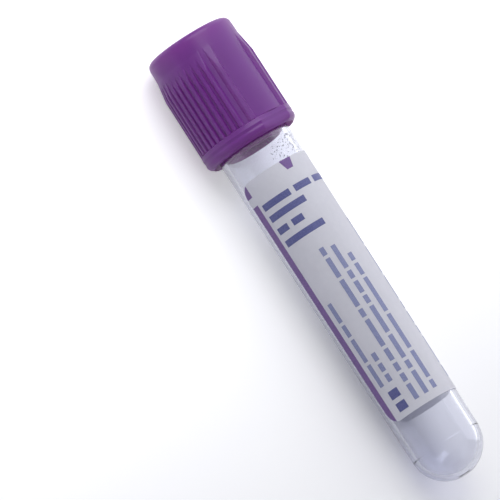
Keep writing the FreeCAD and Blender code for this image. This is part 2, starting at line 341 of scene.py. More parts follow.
def new_tree(name: str, sizes: list[str]) -> tuple[NodeTree, Node]:
    """Make an empty Geometry Nodes tree with named number inputs.

    Args:
        name: The tree's name.
        sizes: The names of its inputs.

    Returns:
        The tree and its group input node.
    """
    tree = bpy.data.node_groups.new(name, "GeometryNodeTree")
    tree.interface.new_socket("Geometry", in_out="INPUT", socket_type="NodeSocketGeometry")
    for size in sizes:
        tree.interface.new_socket(size, in_out="INPUT", socket_type="NodeSocketFloat")
    tree.interface.new_socket("Geometry", in_out="OUTPUT", socket_type="NodeSocketGeometry")
    return tree, tree.nodes.new("NodeGroupInput")


def finish_tree(tree: NodeTree, geometry: NodeSocket, material: Material) -> None:
    """End a tree in Realize Instances and Set Material.

    Args:
        tree: The tree.
        geometry: What it has made.
        material: The material that all of it gets.
    """
    real = add_node(tree, "GeometryNodeRealizeInstances", Geometry=geometry).outputs[0]
    dressed = add_node(tree, "GeometryNodeSetMaterial", Geometry=real, Material=material)
    add_node(tree, "NodeGroupOutput", Geometry=dressed.outputs[0])


# ---------------------------------------------------------------- finishes

def patches(tree: NodeTree, across: float, detail: float = 2.0,
            stretch: tuple[float, float, float] | None = None) -> NodeSocket:
    """Add soft random patches that stay where they are on the piece.

    Args:
        tree: The material's tree.
        across: The width of a patch in millimetres.
        detail: How many finer layers it has.
        stretch: A scale for each axis, if any; under 1, it draws the patches out along it.

    Returns:
        The pattern's value, from 0 to 1.
    """
    spot = add_node(tree, "ShaderNodeTexCoord").outputs["Object"]
    if stretch is not None:
        spot = add_node(tree, "ShaderNodeMapping", Vector=spot, Scale=stretch).outputs[0]
    return add_node(tree, "ShaderNodeTexNoise", Vector=spot, Scale=1 / (across * MM),
                    Detail=detail).outputs["Fac"]


def tint(tree: NodeTree, shader: Node, pattern: NodeSocket, low: str, high: str,
         start: float = 0.0, end: float = 1.0) -> NodeSocket:
    """Colour a shader in two tones by a pattern.

    Args:
        tree: The material's tree.
        shader: The Principled shader.
        pattern: The pattern's value.
        low: The colour where the pattern is low.
        high: The colour where it is high.
        start: The value up to which the low colour is full.
        end: The value from which the high colour is full.

    Returns:
        The colour's socket.
    """
    if (start, end) != (0.0, 1.0):
        pattern = add_node(tree, "ShaderNodeMapRange", Value=pattern, From_Min=start,
                           From_Max=end).outputs[0]
    colour = add_node(tree, "ShaderNodeMix", {"data_type": "RGBA"}, i0=pattern, i6=linear(low),
                      i7=linear(high)).outputs[2]
    tree.links.new(colour, shader.inputs["Base Color"])
    return colour


def grain(tree: NodeTree, shader: Node, pattern: NodeSocket, roughness: float, spread: float,
          strength: float, height: float) -> None:
    """Make a shader's roughness uneven by a pattern, and raise the surface where it is high.

    Args:
        tree: The material's tree.
        shader: The Principled shader.
        pattern: The pattern's value.
        roughness: The mean roughness.
        spread: The share by which it rises and falls.
        strength: The bump's strength.
        height: The bump's height in millimetres.
    """
    rough = add_node(tree, "ShaderNodeMapRange", Value=pattern, To_Min=roughness * (1 - spread),
                     To_Max=roughness * (1 + spread))
    tree.links.new(rough.outputs[0], shader.inputs["Roughness"])
    bump = add_node(tree, "ShaderNodeBump", Height=pattern, Strength=strength,
                    Distance=height * MM)
    tree.links.new(bump.outputs[0], shader.inputs["Normal"])


@dataclass(frozen=True)
class MouldedPET:
    """Clear injection-moulded PET: glassy, lavender in its depth, with faint streaks round it."""

    colour: str = "#eff0f5"
    ior: float = 1.57            # typical of PET
    roughness: float = 0.035
    absorption: float = 0.075    # share of red light lost in each mm of wall
    spared: tuple[float, float, float, float] = (0.0, 0.03, 0.3, 1.0)   # of each colour's loss
    lamp_tint: str = "#eeeef4"   # what one face lets through of a lamp's light
    flow_pitch: float = 1.6      # mm between the faint streaks that the flow fronts leave
    streak_draw: float = 0.3     # under 1 it draws them out round the tube

    def build(self) -> Material:
        """Make the material.

        Returns:
            The material.
        """
        material, tree, shader = new_material("clear_moulded_PET")
        shader.inputs["Base Color"].default_value = linear(self.colour)
        shader.inputs["IOR"].default_value = self.ior
        shader.inputs["Transmission Weight"].default_value = 1.0
        streaks = patches(tree, self.flow_pitch, stretch=(1.0, self.streak_draw, self.streak_draw))
        grain(tree, shader, streaks, self.roughness, spread=0.5, strength=0.02, height=0.005)
        # Lamps shine through the wall onto what lies in the tube and behind it
        clear = add_node(tree, "ShaderNodeBsdfTransparent")
        clear.inputs["Color"].default_value = linear(self.lamp_tint)
        path = add_node(tree, "ShaderNodeLightPath")
        both = add_node(tree, "ShaderNodeMixShader", Fac=path.outputs["Is Shadow Ray"],
                        i1=shader.outputs[0], i2=clear.outputs[0])
        output = tree.nodes["Material Output"]
        tree.links.new(both.outputs[0], output.inputs["Surface"])
        # The wall is deepest where it is looked along, so its edges darken a little
        depth = add_node(tree, "ShaderNodeVolumeAbsorption")
        depth.inputs["Color"].default_value = self.spared
        depth.inputs["Density"].default_value = self.absorption / MM
        tree.links.new(depth.outputs[0], output.inputs["Volume"])
        return material


@dataclass(frozen=True)
class LabelFilm:
    """White printed film: satin, with the faint mottle of its top coat."""

    light: str = "#ebebf0"
    dark: str = "#e3e3e9"
    roughness: float = 0.42
    mottle: float = 0.9          # mm across a patch of the top coat
    fine: float = 0.12           # mm across its fine grain, drawn coarser than it is
    translucency: float = 0.5    # share of the light at each face that goes through
    clearness: float = 0.6       # share of a lamp's light that one face lets straight through

    def build(self) -> Material:
        """Make the material.

        Returns:
            The material.
        """
        material, tree, shader = new_material("satin_label_film")
        mottle = patches(tree, self.mottle, detail=3.0)
        colour = tint(tree, shader, mottle, self.dark, self.light)
        grain(tree, shader, patches(tree, self.fine, detail=1.0), self.roughness, spread=0.15,
              strength=0.08, height=0.01)
        through = add_node(tree, "ShaderNodeBsdfTranslucent", Color=colour)
        both = add_node(tree, "ShaderNodeMixShader", Fac=self.translucency,
                        i1=shader.outputs[0], i2=through.outputs[0])
        # A share of the lamps' light goes straight through, so the tube is light inside
        clear = add_node(tree, "ShaderNodeBsdfTransparent")
        path = add_node(tree, "ShaderNodeLightPath")
        share = maths(tree, "MULTIPLY", path.outputs["Is Shadow Ray"], self.clearness)
        lit = add_node(tree, "ShaderNodeMixShader", Fac=share, i1=both.outputs[0],
                       i2=clear.outputs[0])
        tree.links.new(lit.outputs[0], tree.nodes["Material Output"].inputs["Surface"])
        return material


@dataclass(frozen=True)
class PrintInk:
    """Flexographic ink: matt, a touch uneven where it lies thin on the film."""

    name: str
    colour: str
    thin: str
    speckle: float = 0.18        # mm across a thin spot
    roughness: float = 0.5

    def build(self) -> Material:
        """Make the material.

        Returns:
            The material.
        """
        material, tree, shader = new_material(self.name)
        tint(tree, shader, patches(tree, self.speckle), self.colour, self.thin, start=0.35,
             end=0.75)
        shader.inputs["Roughness"].default_value = self.roughness
        return material


@dataclass(frozen=True)
class MouldedPolyethylene:
    """Purple polyethylene from a spark-eroded mould: a soft, waxy sheen and a very fine grain."""

    colour: str = "#692786"
    pale: str = "#732f92"
    ior: float = 1.51            # typical of polyethylene
    roughness: float = 0.30
    deep: str = "#e898e4"        # what light turns to on its way through one face
    translucency: float = 0.30   # share of the light at each face that goes through
    haze: float = 0.05           # the waxy bloom where the surface is seen at a slant
    haze_roughness: float = 0.4
    cloud: float = 2.5           # mm across the faint clouds of the pigment
    fine: float = 0.10           # mm of the mould's grain, drawn coarser than it is

    def build(self) -> Material:
        """Make the material.

        Returns:
            The material.
        """
        material, tree, shader = new_material("purple_moulded_polyethylene")
        tint(tree, shader, patches(tree, self.cloud, detail=3.0), self.colour, self.pale)
        shader.inputs["IOR"].default_value = self.ior
        shader.inputs["Sheen Weight"].default_value = self.haze
        shader.inputs["Sheen Roughness"].default_value = self.haze_roughness
        grain(tree, shader, patches(tree, self.fine), self.roughness, spread=0.15,
              strength=0.12, height=0.012)
        # The thin skirt lets some light through, so its inside glows in a deeper, redder purple
        through = add_node(tree, "ShaderNodeBsdfTranslucent", Color=linear(self.deep))
        both = add_node(tree, "ShaderNodeMixShader", Fac=self.translucency,
                        i1=shader.outputs[0], i2=through.outputs[0])
        tree.links.new(both.outputs[0], tree.nodes["Material Output"].inputs["Surface"])
        return material


@dataclass(frozen=True)
class ButylRubber:
    """Filled butyl rubber: matt mauve, mottled where additive and moisture cling to it."""

    colour: str = "#8c2e92"
    pale: str = "#9c469e"
    roughness: float = 0.6
    mottle: float = 0.45         # mm across a speck of the mottle
    speck_height: float = 0.02   # mm

    def build(self) -> Material:
        """Make the material.

        Returns:
            The material.
        """
        material, tree, shader = new_material("moulded_butyl_rubber")
        specks = patches(tree, self.mottle, detail=3.0)
        tint(tree, shader, specks, self.colour, self.pale, start=0.4, end=0.7)
        shader.inputs["Roughness"].default_value = self.roughness
        bump = add_node(tree, "ShaderNodeBump", Height=specks, Strength=0.2,
                        Distance=self.speck_height * MM)
        tree.links.new(bump.outputs[0], shader.inputs["Normal"])
        return material


@dataclass(frozen=True)
class DriedAdditive:
    """Spray-dried additive: small whitish beads, dull and slightly see-through, drawn in darker
    greys as painted shade.
    """

    # Both greys are painted shade: far darker than the whitish additive, so the beads show as dark
    # specks
    colour: str = "#8e8fa3"
    shade: str = "#66677d"
    grit: float = 0.1            # mm across a grain
    roughness: float = 0.5

    def build(self) -> Material:
        """Make the material.

        Returns:
            The material.
        """
        material, tree, shader = new_material("spray_dried_additive")
        tint(tree, shader, patches(tree, self.grit), self.shade, self.colour)
        shader.inputs["Roughness"].default_value = self.roughness
        return material


# ---------------------------------------------------------------- the tube

@dataclass
class SampleTube:
    """The clear tube and the dried additive on its inner wall. Sizes in millimetres."""

    length: float = 75.0
    base_radius: float = 6.2
    mouth_radius: float = 6.45
    wall: float = 1.0
    rim_rounding: float = 0.3
    witness_height: float = 0.045    # the core pin's parting line inside
    witness_width: float = 0.35
    gate_radius: float = 1.1         # the dimple that the gate leaves at the tip
    gate_flat: float = 0.55          # share of its radius that is flat
    gate_depth: float = 0.12
    dome_start: float = -2.5         # degrees, where the inner dome clears the witness line
    columns: int = 256
    bead_count: int = 150
    bead_size: float = 0.25          # across the widest bead
    bead_turns: tuple[float, float] = (12.0, 78.0)    # degrees from the viewed side
    bead_heights: tuple[float, float] = (57.0, 62.6)
    bead_crowding: float = 0.7       # under 1 it gathers them towards the second turn
    bead_sink: float = 0.03          # how deep their middles lie in the wall
    bead_seed: int = 11              # of their places
    bead_size_seed: int = 5

    def radius(self, height: float) -> float:
        """Give the outer radius at a height above the tip."""
        share = (height - self.base_radius) / (self.length - self.base_radius)
        return self.base_radius + (self.mouth_radius - self.base_radius) * share

    def outline(self) -> Profile:
        """Give the wall's outline.

        Returns:
            Its points, from the tip up outside and down inside.
        """
        base, wall, rounding = self.base_radius, self.wall, self.rim_rounding
        inner = base - wall
        gate = [(0.0, self.gate_depth), (self.gate_flat * self.gate_radius, self.gate_depth)]
        rim_out = self.mouth_radius - rounding
        rim_in = self.mouth_radius - wall + rounding
        outside = [p for p in arc((0, base), base, -90, 0, 48) if p[0] > self.gate_radius]
        up = run((base, base), (self.mouth_radius, self.length - rounding), 40)[1:]
        rim = arc((rim_out, self.length - rounding), rounding, 0, 90, 8)
        rim += arc((rim_in, self.length - rounding), rounding, 90, 180, 8)
        witness = [(inner, base + self.witness_width), (inner, base + self.witness_width / 2),
                   (inner - self.witness_height, base), (inner, base - self.witness_width / 4)]
        down = run((self.mouth_radius - wall, self.length - rounding),
                   (inner, base + self.witness_width), 40)[1:]
        dome = arc((0, base), inner, self.dome_start, -90, 44)
        dome[-1] = (0.0, wall)
        return gate + outside + up + rim + down + witness + dome

    def build(self, where: TubeFrame) -> None:
        """Make the tube and the beads in it.

        Args:
            where: The tube's own coordinates.
        """
        columns = [360 * i / self.columns for i in range(self.columns)]
        mesh = revolve("clear_tube", self.outline(), columns, closed=False)
        sharpen(mesh, angle=50)
        place(mesh, where, MouldedPET().build(), Body.TUBE, Slot.PET, "tube")
        self.build_beads(where)

    def build_beads(self, where: TubeFrame) -> None:
        """Scatter dried beads over the inner wall between the closure and the label.

        Args:
            where: The tube's own coordinates.
        """
        material = DriedAdditive().build()
        (start, end), (low, high) = self.bead_turns, self.bead_heights
        rng = random.Random(self.bead_seed)
        spots = []
        for _ in range(self.bead_count):
            turn = start + (end - start) * rng.random() ** self.bead_crowding
            height = low + (high - low) * rng.random()
            angle = math.radians(turn + VIEWED_TURN)
            inner = self.radius(height) - self.wall + self.bead_sink
            spots.append((inner * math.cos(angle), inner * math.sin(angle), height))
        mesh = bpy.data.meshes.new("additive_beads")
        mesh.from_pydata(spots, [], [])
        tree, given = new_tree("scattered_beads", ["Bead size"])
        bead = add_node(tree, "GeometryNodeMeshIcoSphere", Radius=1.0, Subdivisions=1)
        # Their radii, as shares of the widest bead's width
        size = add_node(tree, "FunctionNodeRandomValue", i2=0.2, i3=0.5,
                        Seed=self.bead_size_seed)
        scale = maths(tree, "MULTIPLY", size.outputs[1], given.outputs["Bead size"])
        beads = add_node(tree, "GeometryNodeInstanceOnPoints", Points=given.outputs["Geometry"],
                         Instance=bead.outputs[0], Scale=scale)
        finish_tree(tree, beads.outputs[0], material)
        place(apply_tree(mesh, tree, {"Bead size": self.bead_size}), where, None, Body.TUBE,
              Slot.PET)


# ---------------------------------------------------------------- the label

@dataclass
class Mark:
    """One flat plate on the tube: rows of height and of its left and right turn in degrees."""

    rows: list[tuple[float, float, float]]
    columns: int


def flat_plates(name: str, marks: list[Mark], low: float, high: float) -> Mesh:
    """Make closed thin plates, laid flat: X is the turn in degrees, Y the height, Z the lift.

    Args:
        name: The mesh's name.
        marks: The plates.
        low: Their under face's lift in millimetres.
        high: Their upper face's lift in millimetres.

    Returns:
        The mesh of all the plates.
    """
    work = bmesh.new()
    for mark in marks:
        grids = []
        for lift in (low, high):
            grids.append([[work.verts.new((left + (right - left) * i / mark.columns, height, lift))
                           for i in range(mark.columns + 1)]
                          for height, left, right in mark.rows])
        under, over = grids
        for grid, order in ((under, 1), (over, -1)):
            for a, b in zip(grid, grid[1:]):
                for i in range(mark.columns):
                    work.faces.new((a[i], b[i], b[i + 1], a[i + 1])[::order])
        loops = []
        for grid in grids:
            loops.append(grid[0] + [row[-1] for row in grid[1:-1]] + grid[-1][::-1]
                         + [row[0] for row in grid[-2:0:-1]])
        for i in range(len(loops[0])):
            j = (i + 1) % len(loops[0])
            work.faces.new((loops[0][i], loops[0][j], loops[1][j], loops[1][i]))
    bmesh.ops.recalc_face_normals(work, faces=work.faces)
    mesh = bpy.data.meshes.new(name)
    work.to_mesh(mesh)
    work.free()
    return mesh


class Runs(Enum):
    """Which way a row of print runs."""

    ROUND = "round the tube"
    ALONG = "along the tube"


@dataclass
class BarRow:
    """One row of plain printed bars: its ends, its middle line and its bars, in millimetres."""

    runs: Runs
    start: float
    end: float
    middle: float
    tall: float
    step: float                  # what the bars' lengths are multiples of


def on_film(turn: float) -> float:
    """Give the distance round the film, in millimetres, of a turn from the viewed side."""
    return math.radians(turn) * FILM_RADIUS


@dataclass
class Label:
    """The printed film round the tube. Sizes in millimetres, turns in degrees."""

    tube: SampleTube
    head_drop: float = 16.3          # rim to the upper edge
    foot_rise: float = 6.6           # start of the round bottom to the lower edge
    thickness: float = 0.08
    adhesive: float = 0.02
    corner: float = 2.5
    strip_angle: float = 62.0        # clear strip between the film's two edges
    strip_middle: float = 224.0
    ink: float = 0.012               # how far the print stands above the film
    stripe_angle: float = 13.8       # width of the coloured stripe along the first edge
    stripe_margin: float = 0.3       # from the film's edge to the stripe's
    break_start: float = 2.35        # upper edge to the gap in the stripe
    break_end: float = 3.9
    marker_height: float = 1.78
    marker_head: tuple[float, float] = (17.0, 36.8)   # its two sides, from the viewed side
    marker_foot: tuple[float, float] = (22.4, 32.9)
    bar_lengths: tuple[int, ...] = (2, 3, 5, 6, 7, 9)  # in steps of a row
    bar_gap: float = 0.8             # between two bars, in steps of a row
    bar_seed: int = 7                # of the bars' lengths

    @property
    def head(self) -> float:
        """The upper edge's height."""
        return self.tube.length - self.head_drop

    @property
    def foot(self) -> float:
        """The lower edge's height."""
        return self.tube.base_radius + self.foot_rise

    @property
    def first_edge(self) -> float:
        """The turn of the edge beside the stripe."""
        return self.strip_middle + self.strip_angle / 2 - 360

    @property
    def last_edge(self) -> float:
        """The turn of the other edge."""
        return self.strip_middle - self.strip_angle / 2

    def inset(self, height: float) -> float:
        """Give how far a rounded corner takes the edge in.

        Args:
            height: The height above the tip.

        Returns:
            The turn in degrees; none between the corners.
        """
        beyond = max(self.foot + self.corner - height, height - self.head + self.corner, 0.0)
        beyond = min(beyond, self.corner)
        inwards = self.corner - math.sqrt(self.corner ** 2 - beyond ** 2)
        return math.degrees(inwards / self.tube.radius(height))

    def heights(self, low: float, high: float) -> list[float]:
        """Give the heights of a plate's rows, fine where the corners are.

        Args:
            low: The plate's lower end.
            high: Its upper end.

        Returns:
            The heights in order, both ends among them.
        """
        closest = 0.02
        rounded = [self.corner * (1 - math.cos(math.pi / 2 * i / 12)) for i in range(13)]
        steps = [self.foot + rise for rise in rounded] + [self.head - drop for drop in rounded]
        steps += [self.foot + (self.head - self.foot) * i / 24 for i in range(3, 22)]
        inside = [s for s in steps if low + closest < s < high - closest]
        return sorted([low, high] + inside)

    def wrap(self, tree: NodeTree, given: Node, geometry: NodeSocket) -> NodeSocket:
        """Add the nodes that wrap flat plates round the tapered tube.

        Args:
            tree: The tree.
            given: Its group input, with the sizes by name.
            geometry: The flat plates.

        Returns:
            The wrapped geometry.
        """
        calc = partial(maths, tree)
        flat = add_node(tree, "ShaderNodeSeparateXYZ",
                        Vector=add_node(tree, "GeometryNodeInputPosition").outputs[0])
        base = given.outputs["Base radius"]
        wall = calc("MULTIPLY_ADD", calc("SUBTRACT", flat.outputs[1], base),
                    given.outputs["Taper"], base)
        radius = calc("ADD", calc("ADD", wall, given.outputs["Film face"]), flat.outputs[2])
        turn = calc("RADIANS", flat.outputs[0])
        spot = add_node(tree, "ShaderNodeCombineXYZ",
                        X=calc("MULTIPLY", radius, calc("COSINE", turn)),
                        Y=calc("MULTIPLY", radius, calc("SINE", turn)), Z=flat.outputs[1])
        return add_node(tree, "GeometryNodeSetPosition", Geometry=geometry,
                        Position=spot.outputs[0]).outputs[0]

    def wrapped(self, mesh: Mesh, material: Material, bars: bool) -> Mesh:
        """Run the wrapping tree on flat plates, or on points that each carry a bar of print.

        Args:
            mesh: The flat plates or the points.
            material: The material.
            bars: Whether the mesh is points that carry bars.

        Returns:
            The wrapped mesh.
        """
        tree, given = new_tree("wrap_" + mesh.name, ["Base radius", "Taper", "Film face"])
        geometry = given.outputs["Geometry"]
        if bars:
            block = add_node(tree, "GeometryNodeMeshCube", Size=(1.0, 1.0, 1.0), Vertices_X=25)
            size = add_node(tree, "GeometryNodeInputNamedAttribute",
                            {"data_type": "FLOAT_VECTOR"}, Name="block")
            placed = add_node(tree, "GeometryNodeInstanceOnPoints", Points=geometry,
                              Instance=block.outputs[0], Scale=size.outputs[0])
            geometry = add_node(tree, "GeometryNodeRealizeInstances",
                                Geometry=placed.outputs[0]).outputs[0]
        finish_tree(tree, self.wrap(tree, given, geometry), material)
        taper = ((self.tube.mouth_radius - self.tube.base_radius)
                 / (self.tube.length - self.tube.base_radius))
        result = apply_tree(mesh, tree, {"Base radius": self.tube.base_radius, "Taper": taper,
                                         "Film face": self.adhesive + self.thickness})
        point_outwards(result)
        sharpen(result, angle=40)
        return result

    def film(self) -> Mark:
        """Give the film's own outline."""
        return Mark([(h, self.first_edge + self.inset(h), self.last_edge - self.inset(h))
                     for h in self.heights(self.foot, self.head)], columns=132)

    def stripe(self) -> list[Mark]:
        """Give the coloured stripe along the first edge.

        Returns:
            Its two plates, below and above the gap near the upper corner.
        """
        right = self.first_edge + self.stripe_angle
        marks = []
        for low, high in ((self.foot, self.head - self.break_end),
                          (self.head - self.break_start, self.head)):
            marks.append(Mark([(h, min(self.first_edge + self.inset(h) + self.stripe_margin,
                                       right), right)
                               for h in self.heights(low, high)], columns=6))
        return marks

    def marker(self) -> Mark:
        """Give the tapered mark that hangs from the upper edge.

        Returns:
            Its plate.
        """
        ends = ((self.head - self.marker_height, self.marker_foot), (self.head, self.marker_head))
        return Mark([(height, *(side + VIEWED_TURN for side in sides)) for height, sides in ends],
                    columns=8)

    def bars(self, name: str, rows: list[BarRow]) -> Mesh:
        """Give rows of plain bars as points that each carry their bar's size.

        Args:
            name: The mesh's name.
            rows: The rows.

        Returns:
            The points, laid flat as the plates are.
        """
        rng = random.Random(self.bar_seed)
        spots: list[tuple[float, float, float]] = []
        sizes: list[tuple[float, float, float]] = []
        for row in rows:
            at = row.start
            while at < row.end - row.step:
                wide = min(row.step * rng.choice(self.bar_lengths), row.end - at)
                along, across = at + wide / 2, row.middle
                box = (math.degrees(row.tall / FILM_RADIUS), wide, 2 * self.ink)
                if row.runs is Runs.ROUND:
                    along, across = across, along
                    box = (math.degrees(wide / FILM_RADIUS), row.tall, 2 * self.ink)
                turn = math.degrees(across / FILM_RADIUS) + VIEWED_TURN
                spots.append((turn, self.head - along, 0.0))
                sizes.append(box)
                at += wide + self.bar_gap * row.step
        mesh = bpy.data.meshes.new(name)
        mesh.from_pydata(spots, [], [])
        carried = mesh.attributes.new("block", "FLOAT_VECTOR", "POINT")
        carried.data.foreach_set("vector", [c for size in sizes for c in size])
        return mesh

    def headings(self) -> list[BarRow]:
        """Give the tall rows that run round the tube.

        Returns:
            The rows.
        """
        rows = [BarRow(Runs.ROUND, on_film(start), on_film(end), drop, 1.15, 1.1)
                for drop, start, end in ((5.0, -41, 95), (7.15, -41, 22), (9.55, -41, 5),
                                         (11.9, -41, 40))]
        return rows + [BarRow(Runs.ROUND, on_film(-33), on_film(-16), drop, 1.5, 1.2)
                       for drop in (41.8, 44.1)]

    def small_print(self) -> list[BarRow]:
        """Give the low rows, most of which run along the tube.

        Returns:
            The rows.
        """
        rows = [BarRow(Runs.ALONG, start, end, on_film(turn), 0.85, 0.72)
                for turn, start, end in ((-35, 23.8, 39.8), (-18.5, 34.4, 39.8), (1, 15.5, 44.5),
                                         (17.7, 16.1, 44.5), (34, 18.5, 44.5), (84, 13.0, 44.0))]
        return rows + [BarRow(Runs.ROUND, on_film(172), on_film(205), drop, 0.9, 0.8)
                       for drop in (30.0, 32.0)]

    def build(self, where: TubeFrame) -> None:
        """Make the film, the stripe with the mark, and the print.

        Args:
            where: The tube's own coordinates.
        """
        plates = flat_plates("label_film", [self.film()], -self.thickness, 0.0)
        marks = flat_plates("label_stripe", [*self.stripe(), self.marker()], -self.ink, self.ink)
        purple = PrintInk("purple_flexo_ink", "#5f4580", "#7d5c9c")
        navy = PrintInk("navy_flexo_ink", "#474b80", "#5f6396")
        screened = PrintInk("screened_navy_flexo_ink", "#747aa2", "#8b90b3")
        for mesh, finish, bars, nodes in (
                (plates, LabelFilm(), False, ["label"]), (marks, purple, False, []),
                (self.bars("label_headings", self.headings()), navy, True, []),
                (self.bars("label_print", self.small_print()), screened, True, [])):
            place(self.wrapped(mesh, finish.build(), bars), where, None, Body.TUBE, Slot.FILM,
                  *nodes)


# ---------------------------------------------------------------- the closure

@dataclass
class Stopper:
    """The rubber stopper that the shield holds by its neck. Sizes in millimetres."""

    rim: float                       # heights of the tube's rim and of the shield's ledge
    ledge_foot: float
    ledge_head: float
    plug_depth: float = 11.8
    plug_radii: tuple[float, float, float] = (5.36, 5.38, 5.40)   # foot, waist and rim
    plug_waist: float = 5.0          # foot to the waist
    plug_lead: float = 0.8           # how far the foot narrows
    lead_height: float = 1.0
    foot_rounding: float = 0.5
    recess_radius: float = 3.3
    recess_depth: float = 7.5
    recess_mouth: float = 0.8        # rounding of the recess's mouth
    flange_radius: float = 6.3
    neck_radius: float = 4.9
    head_radius: float = 6.0
    head_height: float = 2.4
    well_radius: float = 3.3
    well_depth: float = 4.6
    well_bevel: float = 0.2
    boss_radii: tuple[float, float] = (1.2, 1.4)      # the raised spot that the needle pierces
    boss_shoulder: float = 0.15      # height of its edge, a bevel's height at its middle
    rounding: float = 0.3            # of all other edges
    flat_row: float = 0.2            # from a rounding to the row that keeps its flat flat
    columns: int = 128

    def outline(self) -> Profile:
        """Give the stopper's outline.

        Returns:
            Its points, from the recess's top, round the outside, to the well's floor.
        """
        foot, soft = self.rim - self.plug_depth, self.rounding
        recess_top, head_top = foot + self.recess_depth, self.ledge_head + self.head_height
        well_floor = head_top - self.well_depth
        low, waist, high = self.plug_radii
        inner, outer = self.boss_radii
        profile: Profile = [(0.0, recess_top),
                            (self.recess_radius - soft - self.flat_row, recess_top)]
        profile += arc((self.recess_radius - soft, recess_top - soft), soft, 90, 0, 4)
        profile += arc((self.recess_radius + self.recess_mouth, foot + self.recess_mouth),
                       self.recess_mouth, 180, 270, 8)
        profile += arc((low - self.plug_lead, foot + self.foot_rounding), self.foot_rounding, -90,
                       -30, 5)
        profile += [(low, foot + self.lead_height), (waist, foot + self.plug_waist),
                    (high, self.rim), (self.flange_radius, self.rim)]
        profile += arc((self.flange_radius - soft, self.ledge_foot - soft), soft, 0, 90, 4)
        profile += [(self.neck_radius, self.ledge_foot), (self.neck_radius, self.ledge_head),
                    (self.head_radius, self.ledge_head)]
        profile += arc((self.head_radius - soft, head_top - soft), soft, 0, 90, 4)
        profile += arc((self.well_radius + soft, head_top - soft), soft, 90, 180, 4)
        return profile + [(self.well_radius, well_floor + self.well_bevel),
                          (self.well_radius - self.well_bevel, well_floor), (outer, well_floor),
                          (inner, well_floor + self.boss_shoulder),
                          (0.0, well_floor + self.well_bevel)]

    def build(self, where: TubeFrame) -> None:
        """Make the stopper.

        Args:
            where: The tube's own coordinates.
        """
        columns = [360 * i / self.columns for i in range(self.columns)]
        mesh = revolve("rubber_stopper", self.outline(), columns, closed=False)
        sharpen(mesh, angle=40)
        place(mesh, where, ButylRubber().build(), Body.CLOSURE, Slot.RUBBER, "stopper")


